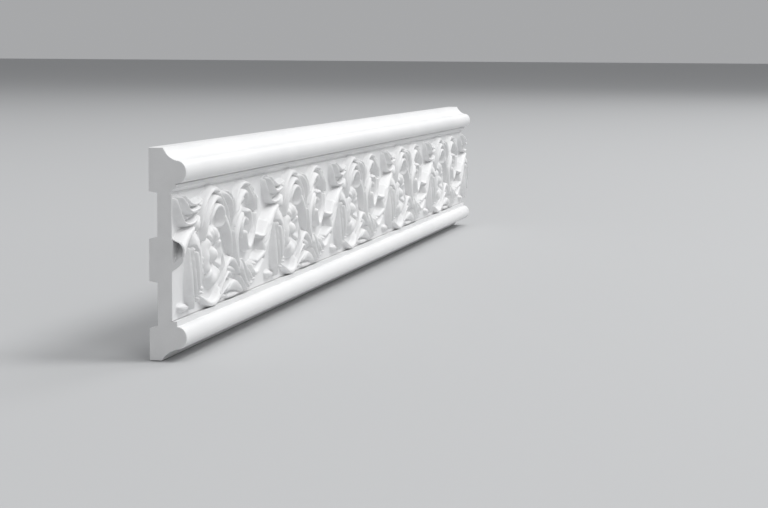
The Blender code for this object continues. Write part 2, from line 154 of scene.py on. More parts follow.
class Carving:
    """The height of one repeat above the field, on a grid."""

    def __init__(self):
        self.u = np.arange(TILE_START, TILE_END + CELL / 2, CELL)
        rows = round((FILLET_HIGH - FIELD_LOW) / CELL) + 1
        self.v = np.linspace(FIELD_LOW - ORNAMENT_MIDDLE, FILLET_HIGH - ORNAMENT_MIDDLE, rows)
        self.height = np.zeros((len(self.v), len(self.u)))
        self.cuts = []

    def window(self, points, reach):
        """The rows and columns of the grid within reach of some points."""
        low = points[:, :2].min(0) - reach
        high = points[:, :2].max(0) + reach
        columns = slice(*np.searchsorted(self.u, (low[0], high[0])))
        rows = slice(*np.searchsorted(self.v, (low[1], high[1])))
        return rows, columns

    def follow(self, path, rows, columns):
        """For each grid point, the nearest place on a path: its share of the half width, signed
        plus to the left of the path, the height there, and how far the point lies beyond the edge."""
        u, v = np.meshgrid(self.u[columns], self.v[rows])
        start, end = path[:-1], path[1:]
        course = end[:, :2] - start[:, :2]
        du = u[..., None] - start[:, 0]
        dv = v[..., None] - start[:, 1]
        share = np.clip((du * course[:, 0] + dv * course[:, 1]) / (course ** 2).sum(1), 0, 1)
        gap = np.hypot(du - share * course[:, 0], dv - share * course[:, 1])
        width = start[:, 2] + share * (end[:, 2] - start[:, 2])
        rise = start[:, 3] + share * (end[:, 3] - start[:, 3])
        side = gap / width
        best = side.argmin(-1)[..., None]
        turn = np.take_along_axis(course[:, 0] * dv - course[:, 1] * du, best, -1)[..., 0]
        side = np.take_along_axis(side, best, -1)[..., 0]
        beyond = np.take_along_axis(gap - width, best, -1)[..., 0]
        return np.where(turn > 0, side, -side), np.take_along_axis(rise, best, -1)[..., 0], beyond

    def path(self, stations):
        """The stations' smooth curve, nowhere thinner than a cast can hold."""
        path = catmull_rom(stations, PATH_STEPS if len(stations) > 2 else STRAIGHT_STEPS)
        path[:, 2] = np.maximum(path[:, 2], THINNEST)
        return path

    def stroke(self, stations, crest=0.0, foot=FOOT, moat=MOAT_SHARE):
        """A leaf or stem. Its foot spreads with its height, crest shifts its highest line to the
        left (+1) or right (-1) edge, and a moat sets it off from what it lies on."""
        path = self.path(stations)
        path[:, 2] += foot * path[:, 3]
        rows, columns = self.window(path, path[:, 2].max() + MOAT + CELL)
        side, rise, beyond = self.follow(path, rows, columns)
        reach = np.where(side < crest, 1 + crest, 1 - crest)
        away = np.clip(np.abs(side - crest) / reach, 0, 1)
        below = self.height[rows, columns] * (1 - moat * smoothstep(MOAT - np.abs(beyond), 0, MOAT))
        self.height[rows, columns] = np.maximum(below, rise * (1 - away ** ROUNDNESS))

    def groove(self, points, depth, half_width=0.55):
        """Sets down a groove, which is cut once the walls have their slope."""
        self.cuts.append(lambda: self.cut_groove(points, depth, half_width))

    def hollow(self, corners, soft):
        """Sets down a pocket, which is cut once the walls have their slope."""
        self.cuts.append(lambda: self.cut_hollow(corners, soft))

    def cut_groove(self, points, depth, half_width):
        """A narrow line cut into what stands above the field."""
        path = self.path([(u, v, half_width, depth) for u, v in points])
        rows, columns = self.window(path, half_width * 3)
        side, level, _ = self.follow(path, rows, columns)
        here = self.height[rows, columns]
        here -= level * np.exp(-side ** 2) * np.clip(here / FULL_CUT, 0, 1)
        self.height[rows, columns] = np.maximum(here, 0)

    def knob(self, centre, radii, rise, turn=0.0):
        """A rounded boss, bud or ball."""
        u, v = np.meshgrid(self.u - centre[0], self.v - centre[1])
        cos, sin = math.cos(math.radians(turn)), math.sin(math.radians(turn))
        away = ((u * cos + v * sin) / radii[0]) ** 2 + ((v * cos - u * sin) / radii[1]) ** 2
        self.height = np.maximum(self.height, rise * np.clip(1 - away, 0, 1) ** KNOB_FULLNESS)

    def cut_hollow(self, corners, soft):
        """A pocket down to the field, inside a convex outline given anticlockwise."""
        u, v = np.meshgrid(self.u, self.v)
        inside = np.full(u.shape, np.inf)
        for (u0, v0), (u1, v1) in zip(corners, corners[1:] + corners[:1]):
            length = math.hypot(u1 - u0, v1 - v0)
            inside = np.minimum(inside, ((u1 - u0) * (v - v0) - (v1 - v0) * (u - u0)) / length)
        self.height *= 1 - smoothstep(inside, -soft, soft)

    def soften(self):
        """Rounds every edge a little, as a cast does."""
        for axis in (0, 1):
            before, after = np.roll(self.height, 1, axis), np.roll(self.height, -1, axis)
            self.height = (before + 2 * self.height + after) / 4

    def draft(self):
        """Gives every wall the slope that lets a cast leave its mould."""
        fall = DRAFT * CELL
        for _ in range(math.ceil(self.height.max() / fall)):
            for rows, columns in ((0, 1), (1, 0), (1, 1), (1, -1)):
                drop = fall * math.hypot(rows, columns)
                for way in (1, -1):
                    shifted = np.roll(self.height, (rows * way, columns * way), (0, 1)) - drop
                    self.height = np.maximum(self.height, shifted)

    def finish(self):
        """Slopes the walls, makes the cuts, and brings the carving down to the field at its border."""
        self.draft()
        for cut in self.cuts:
            cut()
        self.soften()
        gap = np.minimum(self.v - self.v[0], self.v[-1] - self.v)
        self.height *= smoothstep(gap, 0, BORDER)[:, None]


# Rosette: four petals round a boss, from the right one to the low one. Each has its own reach, a share of it
# up to which it is a valley, and a number and depth of flutes; the other shares are of the reach as well
ROSETTE_V = -5.2
PETAL_OUT = (18.8, 20.6, 21.8, 23.0)
PETAL_RISE = 5.2
PETAL_SPREAD = 45.5
PETAL_ROUNDING = 0.10
VALLEY_SHARES = (0.42, 0.32, 0.32, 0.32)
VALLEY_RISE = 1.6
VALLEY_SPREAD = 0.36
FLUTES = ((2.5, 0.35), (5, 0.6), (2.5, 0.35), (2.5, 0.35))
FLUTES_START = (0.35, 0.5)
FLUTES_END = (0.8, 0.95)
FULLEST = 0.66
BOSS_RADII = (5.6, 6.4)
BOSS_RISE = 6.6
ROSETTE_REACH = 24.0
CLEFTS = ((44, 8.2, 16.5), (134, 9.0, 19.0), (222, 9.5, 19.5), (312, 8.2, 18.0))
CLEFT_DEPTH = 4.2
CLEFT_HALF_WIDTH = 0.9


def rosette(carving):
    """Petals with a fluted face that rises from a valley round the boss, parted by clefts."""
    u, v = np.meshgrid(carving.u, carving.v - ROSETTE_V)
    radius = np.hypot(u, v)
    angle = np.degrees(np.arctan2(v, u))
    height = np.zeros(u.shape)
    petals = zip(PETAL_OUT, VALLEY_SHARES, FLUTES)
    for number, (out, valley, (flutes, depth)) in enumerate(petals):
        turn = (angle - 90 * number + 180) % 360 - 180
        share = np.clip(np.abs(turn) / (PETAL_SPREAD + 0.5), 0, 1)
        rim = out * (1 - PETAL_ROUNDING * share ** 3)
        place = np.clip(radius / rim, 0, 1)
        up = smoothstep(place, valley, valley + VALLEY_SPREAD)
        fall = 1 - np.clip((place - FULLEST) / (1 - FULLEST), 0, 1) ** ROUNDNESS
        wave = depth * np.cos(np.radians(turn) * flutes * len(PETAL_OUT))
        wave *= smoothstep(place, *FLUTES_START)
        wave *= 1 - smoothstep(place, *FLUTES_END)
        level = (VALLEY_RISE + (PETAL_RISE - VALLEY_RISE) * up + wave) * fall
        height = np.where(np.abs(turn) <= PETAL_SPREAD, np.maximum(height, level), height)
    carving.height = np.maximum(carving.height, np.where(radius < ROSETTE_REACH, height, 0))
    carving.knob((0.0, ROSETTE_V), BOSS_RADII, BOSS_RISE)
    for degrees, start, stop in CLEFTS:
        cos, sin = math.cos(math.radians(degrees)), math.sin(math.radians(degrees))
        line = [(start * cos, start * sin + ROSETTE_V), (stop * cos, stop * sin + ROSETTE_V)]
        carving.groove(line, CLEFT_DEPTH, CLEFT_HALF_WIDTH)


def ring_stem(carving):
    """The thin stem that passes under the rosette and ends in a blade beside it."""
    carving.stroke([(-26.5, -29.5, 0.8, 2.5), (-19.5, -32.8, 1.6, 4.2), (-10.3, -36.3, 2.0, 4.6),
                    (-0.3, -37.8, 2.1, 4.8), (9.5, -35.2, 2.1, 5.0), (16.2, -28.0, 1.8, 5.0),
                    (20.4, -19.0, 1.4, 5.0), (21.9, -9.6, 1.0, 4.5), (18.6, -2.2, 0.3, 2.5)], crest=-0.2)


def hood(carving):
    """The large leaf that arches over the rosette: two low webs, then its lobes and their veins."""
    carving.stroke([(-23.4, 16.0, 1.8, 3.6), (-19.6, 24.0, 3.2, 4.4), (-10.6, 31.4, 4.0, 4.6),
                    (1.0, 34.6, 4.0, 4.6), (12.0, 31.6, 4.4, 4.8), (20.6, 24.6, 5.4, 5.2),
                    (28.6, 15.6, 5.0, 5.2), (35.6, 4.6, 3.0, 4.6), (41.6, -5.6, 1.2, 3.6)], moat=0)
    carving.stroke([(-13.6, 18.0, 1.4, 3.2), (-8.6, 25.0, 2.2, 3.8), (0.0, 29.4, 2.6, 4.2),
                    (10.0, 29.4, 2.6, 4.6), (17.0, 26.0, 2.4, 5.0)], moat=0)
    carving.stroke([(-26.8, 15.2, 0.6, 4.0), (-25.4, 22.0, 1.2, 5.2), (-21.0, 29.0, 1.5, 5.6),
                    (-14.6, 34.0, 1.6, 5.8), (-6.5, 37.4, 1.7, 5.8), (1.5, 38.3, 1.7, 5.6),
                    (8.0, 37.0, 1.6, 5.6), (14.5, 33.4, 1.5, 5.8), (22.4, 27.8, 1.5, 5.8),
                    (30.2, 20.0, 1.6, 5.6), (35.6, 10.6, 1.5, 5.2), (40.0, 0.4, 1.2, 4.6),
                    (44.2, -9.6, 0.5, 3.0)])
    carving.stroke([(-19.2, 6.2, 0.6, 4.4), (-18.7, 12.8, 1.5, 5.8), (-15.8, 21.0, 1.9, 6.4),
                    (-10.0, 27.6, 1.9, 6.8), (-3.4, 31.4, 1.8, 6.8), (3.0, 32.6, 1.6, 6.6),
                    (9.8, 31.6, 1.5, 6.6), (16.4, 27.6, 1.5, 6.6), (22.0, 23.4, 1.6, 6.4)])
    carving.stroke([(-8.3, 16.0, 0.7, 4.6), (-5.8, 20.6, 1.3, 5.8), (-1.2, 25.2, 1.5, 6.4),
                    (5.4, 27.0, 1.3, 6.6), (11.7, 26.0, 1.3, 6.8), (16.0, 23.0, 1.5, 7.0),
                    (18.0, 18.6, 1.6, 6.8), (17.4, 14.4, 1.2, 6.0), (15.0, 12.2, 0.7, 4.6)])
    carving.stroke([(22.6, 17.6, 3.2, 6.8), (26.6, 14.0, 3.4, 6.9), (31.4, 8.8, 2.6, 6.6),
                    (36.2, 2.0, 1.6, 6.0), (40.6, -5.0, 0.9, 5.0), (44.2, -10.8, 0.4, 3.4)], crest=-0.7)
    carving.stroke([(12.0, 34.6, 0.7, 5.4), (19.0, 29.6, 1.0, 5.8), (26.2, 22.4, 1.1, 6.2),
                    (31.6, 14.0, 0.9, 6.0)])
    carving.groove([(-13.0, 30.2), (-4.0, 34.6), (4.0, 35.2), (12.0, 31.6), (20.0, 25.6), (26.0, 19.4)],
                   1.3, 0.6)
    carving.groove([(8.0, 34.4), (15.0, 31.2), (23.0, 24.8), (29.6, 17.0)], 0.8, 0.45)
    carving.groove([(6.0, 29.4), (12.4, 28.6), (18.2, 24.8)], 1.2, 0.5)
    carving.groove([(19.8, 22.8), (20.6, 18.2), (20.0, 13.0)], 2.2, 0.6)
    carving.groove([(24.0, 20.4), (29.0, 15.6), (34.0, 8.8), (38.6, 0.6)], 0.9, 0.45)


def spray(carving):
    """The stem that rises from the joint beside the spiral, and its fronds."""
    carving.stroke([(44.4, 6.0, 2.4, 4.4), (42.4, 16.0, 3.4, 4.4), (39.6, 24.4, 3.4, 3.8),
                    (36.0, 31.0, 2.2, 2.8)])
    carving.stroke([(59.6, -23.6, 0.8, 5.4), (53.4, -15.4, 1.4, 6.0), (48.4, -6.6, 1.7, 6.2),
                    (44.6, 3.0, 2.0, 6.2), (42.4, 12.0, 1.8, 6.0)], crest=0.7)
    carving.stroke([(28.6, 33.4, 1.3, 5.2), (32.6, 31.6, 1.5, 6.0), (37.4, 26.6, 1.2, 6.4),
                    (39.9, 19.6, 1.0, 6.4), (41.4, 10.0, 0.9, 6.0)], crest=-0.6)
    carving.stroke([(32.8, 34.6, 0.8, 4.6), (37.4, 32.4, 1.0, 5.4), (41.0, 27.0, 1.0, 5.8),
                    (42.0, 19.0, 0.9, 5.8), (42.6, 10.0, 0.8, 5.6)])
    carving.stroke([(42.4, 27.6, 0.6, 4.8), (42.9, 20.6, 0.9, 5.8), (43.6, 10.0, 0.9, 5.6)])
    carving.stroke([(45.3, 29.8, 1.0, 4.8), (45.9, 24.6, 1.3, 6.0), (45.0, 17.0, 1.1, 5.8),
                    (44.4, 8.0, 0.9, 5.6)])


def spiral(carving):
    """The ring of the spiral and the bud it winds in to."""
    carving.knob((76.0, 9.0), (7.4, 8.6), 3.2)
    carving.stroke([(45.2, 4.0, 0.7, 4.2), (46.6, 16.4, 1.0, 4.6), (51.0, 26.0, 1.1, 4.6),
                    (58.2, 33.2, 1.2, 4.6), (66.0, 37.0, 1.3, 4.6), (74.4, 37.8, 1.4, 4.6),
                    (82.4, 36.2, 1.5, 5.0), (89.4, 31.2, 1.6, 5.2), (94.6, 23.4, 1.9, 5.6),
                    (96.4, 15.0, 2.2, 5.6), (95.6, 6.4, 2.0, 5.4), (91.2, -1.6, 1.9, 5.4),
                    (83.6, -7.6, 2.0, 5.4), (76.4, -7.2, 2.3, 5.8), (71.8, -2.4, 2.5, 6.4),
                    (69.4, 3.2, 2.2, 6.8)], crest=0.1)
    carving.stroke([(75.4, 17.6, 0.9, 5.0), (79.4, 17.8, 1.5, 6.2), (82.4, 13.4, 1.8, 6.6),
                    (82.2, 7.4, 1.6, 6.4), (80.0, 2.0, 0.6, 4.6)])
    carving.stroke([(71.4, 15.0, 0.9, 5.6), (73.4, 12.6, 1.1, 6.4), (75.0, 9.6, 0.9, 6.0)])
    carving.stroke([(71.0, 13.4, 0.9, 4.8), (66.6, 10.2, 1.1, 5.0), (64.8, 5.2, 1.0, 4.8),
                    (65.6, 0.4, 0.7, 4.4)])
    carving.groove([(66.6, 3.0), (69.2, 5.6), (72.4, 7.2)], 2.6, 0.6)
    carving.groove([(74.2, 15.4), (77.6, 12.8), (77.4, 7.8), (77.8, 2.4)], 2.6, 0.8)


def spiral_leaves(carving):
    """The leaves inside the spiral's ring, and the blades and the tendril outside it."""
    carving.stroke([(49.0, 8.0, 1.6, 4.0), (54.0, 20.0, 3.6, 4.6), (61.0, 26.4, 4.0, 4.8),
                    (68.4, 28.0, 3.0, 4.6)])
    carving.stroke([(50.0, -6.0, 1.6, 4.2), (50.6, 2.0, 2.0, 4.6), (55.0, 12.0, 3.0, 4.8),
                    (61.6, 18.4, 2.0, 4.6)], moat=0)
    carving.stroke([(59.8, -22.6, 0.7, 4.6), (54.0, -14.4, 1.5, 5.6), (50.2, -6.0, 1.7, 6.0),
                    (49.4, 1.6, 1.8, 6.0), (52.2, 8.0, 2.0, 6.2), (57.6, 13.2, 2.1, 6.4),
                    (62.8, 16.8, 1.5, 6.2), (66.0, 17.4, 0.7, 5.0)], crest=-0.3)
    carving.stroke([(47.6, 12.0, 0.8, 5.0), (51.0, 20.2, 1.6, 5.8), (56.4, 26.2, 2.1, 6.2),
                    (63.0, 30.6, 2.2, 6.4), (69.4, 31.8, 1.9, 6.4), (73.4, 29.4, 1.5, 6.4),
                    (74.8, 24.8, 0.6, 4.8)])
    carving.stroke([(47.6, 10.0, 0.8, 5.0), (51.6, 16.6, 1.1, 6.0), (57.0, 20.8, 1.1, 6.2),
                    (60.8, 23.4, 0.6, 4.8)])
    carving.groove([(50.4, 21.4), (56.0, 27.6), (63.4, 32.4), (68.6, 33.4)], 1.0, 0.5)
    carving.groove([(53.0, 20.4), (58.6, 25.4), (66.0, 28.0)], 1.0, 0.5)
    carving.groove([(52.0, 13.0), (56.4, 17.0), (60.6, 18.6)], 1.0, 0.5)
    for tip, middle, foot in (((82.0, 34.4), (85.4, 28.2), (90.0, 23.2)),
                              ((86.6, 34.4), (90.8, 26.2), (95.0, 18.0)),
                              ((90.8, 34.4), (94.4, 26.6), (97.0, 18.0))):
        carving.stroke([(*tip, 0.5, 4.6), (*middle, 1.0, 6.6), (*foot, 0.8, 6.0)])
    carving.stroke([(92.0, 33.4, 0.7, 4.6), (97.0, 29.2, 1.4, 4.6), (102.6, 25.6, 1.1, 4.0),
                    (108.0, 24.6, 0.8, 3.0), (113.4, 26.0, 0.4, 1.6)])
    carving.stroke([(95.6, 28.8, 1.2, 4.6), (98.8, 24.6, 0.9, 3.6), (101.8, 20.4, 0.4, 1.6)])


def joint_leaves(carving):
    """The leaf wrapped round the joint at the bottom, in parallel blades."""
    carving.stroke([(61.6, -20.0, 1.6, 4.6), (67.6, -26.6, 3.6, 5.0), (75.6, -31.0, 4.2, 5.2),
                    (85.0, -33.4, 2.6, 5.0)])
    carving.stroke([(59.8, -25.2, 0.7, 4.6), (63.6, -30.2, 1.2, 5.8), (69.6, -34.4, 1.4, 5.8),
                    (77.6, -36.2, 1.3, 5.4), (86.0, -35.6, 1.0, 5.2)])
    carving.stroke([(62.6, -15.4, 0.5, 4.8), (61.9, -21.4, 1.1, 6.4), (66.0, -27.0, 1.3, 6.6),
                    (72.0, -31.6, 1.3, 6.4), (80.0, -34.4, 1.0, 5.8)])
    carving.stroke([(64.4, -15.0, 0.5, 5.0), (67.8, -20.2, 1.1, 6.6), (71.8, -25.6, 1.2, 6.8),
                    (77.6, -30.2, 1.2, 6.6), (84.0, -33.2, 0.9, 6.0)])
    carving.stroke([(71.6, -20.0, 0.5, 5.0), (75.8, -24.8, 1.2, 6.8), (81.0, -28.8, 1.3, 6.8),
                    (88.6, -31.0, 1.0, 6.4)])


def calyx(carving):
    """The trumpet that opens to the left and carries the stem on to the next hood."""
    carving.stroke([(82.0, -35.4, 1.8, 4.6), (90.3, -31.4, 3.6, 5.8), (99.7, -24.6, 4.6, 6.8),
                    (108.6, -17.6, 5.0, 7.6), (115.4, -9.6, 6.4, 8.2), (120.5, -2.0, 6.8, 8.5),
                    (126.0, 4.6, 5.6, 8.5), (132.4, 9.2, 4.4, 8.1), (139.6, 12.4, 3.4, 7.4),
                    (147.6, 14.4, 2.6, 6.6), (157.6, 15.8, 1.7, 5.8)], foot=0.08)
    carving.stroke([(86.6, -21.4, 1.1, 5.4), (88.0, -25.4, 1.6, 6.4), (92.4, -27.4, 1.7, 6.8),
                    (99.4, -26.0, 1.8, 7.2), (107.0, -20.4, 1.6, 7.6)], moat=0.3)
    carving.knob((92.8, -21.0), (3.0, 2.4), 6.2, 10)
    carving.stroke([(97.6, -19.4, 1.2, 6.0), (102.8, -17.4, 1.8, 7.2), (108.2, -15.0, 1.9, 7.8),
                    (114.0, -11.0, 1.9, 8.1)], moat=0)
    carving.stroke([(101.4, -1.0, 0.6, 5.6), (106.0, -2.4, 1.4, 6.8), (111.0, -2.4, 1.8, 7.8),
                    (116.0, 0.8, 2.0, 8.3), (121.0, 5.4, 1.8, 8.5)], moat=0)
    carving.hollow([(98.6, -14.6), (110.6, -13.0), (111.0, -4.2), (106.0, -3.2), (99.4, -3.8)], soft=0.5)
    for line in ([(112.4, -1.4), (118.0, 3.2), (124.4, 8.2)],
                 [(112.4, -5.2), (118.6, -0.4), (124.6, 4.2)],
                 [(112.6, -9.0), (119.4, -4.0), (125.0, 0.4)]):
        carving.groove(line, 1.0, 0.5)


def top_leaf(carving):
    """The folded leaf along the top: its bowl, its rim and its inner blades."""
    carving.stroke([(127.4, 33.6, 0.8, 1.0), (131.0, 28.4, 1.6, 1.4), (139.6, 25.2, 2.4, 2.0),
                    (150.6, 24.6, 2.4, 3.2), (164.0, 27.4, 2.0, 4.0)], moat=0)
    carving.stroke([(126.8, 36.4, 0.6, 3.6), (127.8, 30.6, 0.9, 5.0), (131.4, 24.8, 0.9, 5.6),
                    (137.4, 20.9, 0.9, 5.8), (145.6, 19.6, 1.0, 6.0), (155.0, 20.2, 1.1, 6.0),
                    (162.4, 22.8, 1.1, 5.6), (168.4, 27.0, 0.9, 4.8)], moat=0, foot=0.12)
    carving.stroke([(134.4, 34.6, 1.4, 6.4), (139.0, 31.6, 2.4, 7.0), (146.6, 30.4, 2.8, 7.0),
                    (156.0, 30.0, 3.0, 6.6), (166.0, 30.6, 2.6, 6.0), (175.0, 33.0, 1.4, 4.6)],
                   crest=-0.45)
    carving.stroke([(132.6, 37.2, 0.5, 5.4), (135.8, 33.6, 0.8, 7.2), (139.8, 29.8, 0.9, 7.4),
                    (147.0, 27.6, 1.0, 7.2), (157.0, 27.4, 1.2, 6.6), (167.6, 28.8, 0.8, 5.6)])
    carving.stroke([(138.2, 38.0, 0.5, 5.0), (141.6, 35.0, 0.8, 6.6), (147.4, 32.8, 0.9, 6.8),
                    (158.0, 31.6, 0.9, 6.2), (170.0, 33.0, 0.6, 5.0)])
    carving.groove([(128.6, 34.6), (131.2, 29.6), (136.4, 25.6), (144.0, 23.6)], 1.6, 1.0)


def bell(carving):
    """The knot, and the bell flower that hangs from it with its sepals and stamens."""
    carving.stroke([(166.4, 22.2, 1.4, 5.4), (162.4, 18.4, 2.4, 6.6), (160.6, 14.0, 1.9, 6.0)])
    carving.stroke([(156.8, 10.6, 3.4, 5.4), (157.4, 7.0, 6.6, 7.2), (158.6, -1.0, 8.2, 8.2),
                    (160.0, -9.0, 8.4, 8.3), (161.0, -16.0, 7.0, 7.9), (161.0, -24.0, 3.2, 6.8),
                    (160.4, -28.0, 1.0, 6.0)])
    carving.stroke([(150.8, 3.0, 0.6, 4.6), (149.8, -7.0, 0.9, 5.8), (149.0, -17.0, 1.1, 6.2),
                    (150.6, -26.8, 1.1, 6.2), (156.8, -35.8, 0.5, 4.6)], moat=0.35)
    carving.stroke([(152.8, 3.0, 0.6, 6.2), (152.4, -7.0, 0.9, 7.4), (153.0, -16.0, 1.1, 7.6),
                    (155.8, -23.6, 1.0, 7.2), (160.2, -28.2, 0.6, 6.0)], moat=0.35)
    carving.stroke([(155.2, 0.0, 0.7, 8.0), (155.6, -9.0, 1.0, 8.8), (157.0, -17.0, 1.0, 8.6),
                    (160.0, -24.4, 0.6, 7.2)], moat=0.35)
    carving.stroke([(165.4, -4.0, 1.0, 8.0), (167.4, -13.0, 1.2, 7.8), (168.0, -22.0, 0.5, 5.6)],
                   moat=0.35)
    carving.stroke([(168.4, -8.0, 1.4, 6.0), (171.4, -12.6, 2.2, 5.8), (175.8, -16.6, 2.0, 4.8),
                    (180.6, -19.8, 0.6, 3.4)], moat=0.3)
    carving.groove([(150.8, -16.0), (151.8, -24.0), (156.4, -31.6)], 1.4, 0.5)
    carving.groove([(151.4, 0.0), (150.8, -10.0), (151.4, -19.0), (156.6, -29.0)], 1.6, 0.5)
    carving.groove([(154.0, 0.0), (154.0, -9.0), (155.2, -18.0), (159.2, -26.4)], 1.6, 0.5)
    carving.groove([(158.6, -2.0), (159.6, -12.0), (160.9, -24.0)], 1.2, 0.5)
    carving.groove([(162.4, -8.0), (164.2, -16.0), (164.6, -24.0)], 2.0, 0.6)
    carving.groove([(168.4, -20.4), (171.0, -22.0), (175.0, -21.2)], 2.0, 0.7)
    carving.knob((163.4, -31.0), (1.9, 2.5), 6.2, 30)
    carving.knob((168.8, -27.2), (1.9, 2.1), 6.4)
    carving.knob((176.8, -25.4), (2.8, 2.5), 4.2)


def fallen_bud(carving):
    """The small bud that lies on the field below the bell."""
    carving.stroke([(133.4, -32.8, 1.0, 2.4), (138.1, -33.3, 2.4, 3.8), (144.6, -34.0, 2.2, 3.2),
                    (151.0, -34.6, 1.3, 2.0)])


def low_leaves(carving):
    """The leaves that spring back from the joint below the hood, and the berry by the stem."""
    carving.stroke([(56.0, -23.0, 1.4, 3.8), (46.0, -19.4, 3.0, 4.2), (36.0, -18.0, 4.0, 4.2),
                    (27.0, -21.0, 3.6, 4.0), (19.0, -28.6, 2.0, 3.4)])
    carving.stroke([(59.8, -24.0, 0.6, 4.4), (52.6, -19.6, 1.4, 5.2), (44.8, -15.0, 2.0, 5.6),
                    (36.6, -12.8, 2.2, 5.8), (29.2, -14.4, 2.2, 5.8), (22.6, -20.2, 1.8, 5.4),
                    (16.4, -28.6, 0.9, 4.6)], crest=-0.35)
    carving.stroke([(38.8, -24.0, 0.5, 4.4), (33.4, -21.6, 1.1, 5.6), (28.6, -21.4, 1.3, 5.6),
                    (21.6, -25.6, 1.5, 5.2), (14.2, -33.0, 0.8, 4.2)], crest=-0.4)
    carving.stroke([(15.6, -37.0, 0.5, 3.2), (22.6, -32.4, 1.0, 4.6), (30.6, -29.2, 1.1, 5.2),
                    (41.0, -26.6, 0.5, 4.4)], crest=0.2)
    carving.stroke([(34.0, -33.0, 1.6, 4.0), (41.6, -30.6, 3.4, 5.2), (49.6, -31.4, 3.6, 5.2),
                    (57.6, -34.0, 2.6, 5.0), (67.6, -37.4, 0.8, 4.0)], crest=0.4)
    carving.stroke([(36.0, -37.6, 1.6, 3.0), (50.0, -37.8, 1.8, 3.2), (62.0, -38.2, 0.8, 2.4)])
    carving.knob((24.6, -36.2), (2.6, 2.2), 4.2)
    carving.groove([(32.6, -30.6), (30.6, -34.8), (29.6, -39.6)], 3.0, 0.7)
    carving.groove([(12.6, -37.6), (17.6, -33.4), (23.6, -29.8), (32.0, -26.8)], 2.4, 0.6)


def repeat_of_carving():
    """One repeat, with its elements laid down in order and its walls sloped."""
    carving = Carving()
    for element in (rosette, ring_stem, hood, spray, spiral, spiral_leaves, joint_leaves, calyx, top_leaf,
                    bell, fallen_bud, low_leaves):
        element(carving)
    carving.finish()
    return carving


def run_of_carving():
    """The carving along the whole length, with the places of its columns and rows."""
    repeat = repeat_of_carving()
    places = np.linspace(0, LENGTH, round(LENGTH / CELL) + 1)
    run = np.zeros((len(repeat.v), len(places)))
    for number in range(-1, math.ceil(LENGTH / PITCH)):
        start = round((FIRST_ROSETTE + PITCH * number + TILE_START) / CELL)
        low = max(start, 0)
        high = min(start + len(repeat.u), len(places))
        if low < high:
            run[:, low:high] = np.maximum(run[:, low:high], repeat.height[:, low - start:high - start])
    places[0] = EASE
    places[-1] = LENGTH - EASE
    return places, repeat.v, run


def sheet_of_carving():
    """The carved field, up to the fillet's edge, as an open mesh that is thinned out where it is flat."""
    places, levels, run = run_of_carving()
    along, up = np.meshgrid(places, levels + ORNAMENT_MIDDLE)
    risen = np.clip((up - FIELD_HIGH) / (FILLET_HIGH - FIELD_HIGH), 0, 1)
    ground = FIELD_DEPTH + (FILLET_DEPTH - FIELD_DEPTH) * risen ** COVE_BEND
    bare = 1 - smoothstep(run, 0, CREASE_CUT)
    crease = CREASE_CUT * np.exp(-((up - FIELD_HIGH) / CREASE_WIDTH) ** 2) * bare
    depth = np.maximum(ground, FIELD_DEPTH + run) - crease
    points = np.stack((along - LENGTH / 2, -depth, up - MOUNT_HEIGHT), -1).reshape(-1, 3) * MM
    count_up, count_along = run.shape
    index = np.arange(count_up * count_along).reshape(count_up, count_along)
    quads = np.stack((index[:-1, :-1], index[:-1, 1:], index[1:, 1:], index[1:, :-1]), -1).reshape(-1, 4)
    mesh = bpy.data.meshes.new("carved_field")
    mesh.vertices.add(len(points))
    mesh.vertices.foreach_set("co", points.ravel())
    mesh.loops.add(quads.size)
    mesh.loops.foreach_set("vertex_index", quads.ravel())
    mesh.polygons.add(len(quads))
    mesh.polygons.foreach_set("loop_start", np.arange(0, quads.size, 4))
    mesh.update(calc_edges=True)
    item = bpy.data.objects.new("carved_field", mesh)
    bpy.context.scene.collection.objects.link(item)
    thin = item.modifiers.new("thin", "DECIMATE")
    thin.ratio = SHEET_TRIANGLES / (2 * len(quads))
    thin.use_collapse_triangulate = True
    bpy.context.view_layer.update()
    made = bpy.data.meshes.new_from_object(item.evaluated_get(bpy.context.evaluated_depsgraph_get()))
    bpy.data.objects.remove(item)
    return made


def swelling_arc(start, end, sag, steps):
    """Points from start to end on a parabola that stands out by sag to the left."""
    start, end = Vector(start), Vector(end)
    chord = end - start
    left = Vector((-chord.y, chord.x)).normalized()
    return [tuple(start + chord * t + left * sag * 4 * t * (1 - t)) for t in np.linspace(0, 1, steps + 1)]


def roll_arc(height):
    """A roll's front, from its lower edge to its upper edge."""
    angles = np.linspace(-math.pi / 2, math.pi / 2, ROLL_STEPS + 1)
    return [(FILLET_DEPTH + ROLL_OUT * math.cos(a), height + ROLL_HALF * math.sin(a)) for a in angles]


def section_outline():
    """The section round from the fillet, over the top, down the back and up to the field's lower edge."""
    low_roll, high_roll = roll_arc(ROLL_LOW), roll_arc(ROLL_HIGH)
    edge = high_roll[0][1]
    points = [(FILLET_DEPTH, edge - CREASE_WIDTH), (FILLET_DEPTH - CREASE_CUT, edge - CREASE_WIDTH / 2)]
    points += high_roll
    points += swelling_arc(points[-1], (EDGE_HIGH, HEIGHT), HOLLOW_SAG, HOLLOW_STEPS)[1:]
    points.append((0.0, HEIGHT))
    for low, high in reversed(RECESSES):
        points.append((0.0, high))
        points.append((RECESS_DEPTH, high - RECESS_SLOPE / 2))
        points.append((RECESS_DEPTH, low + RECESS_SLOPE))
        points.append((0.0, low))
    points.append((0.0, 0.0))
    points += swelling_arc((EDGE_LOW, 0.0), low_roll[0], HOLLOW_SAG, HOLLOW_STEPS)
    points += low_roll[1:]
    points += [(FILLET_DEPTH, FIELD_LOW), (GROOVE_DEPTH, FIELD_LOW - GROOVE_DROP)]
    return points


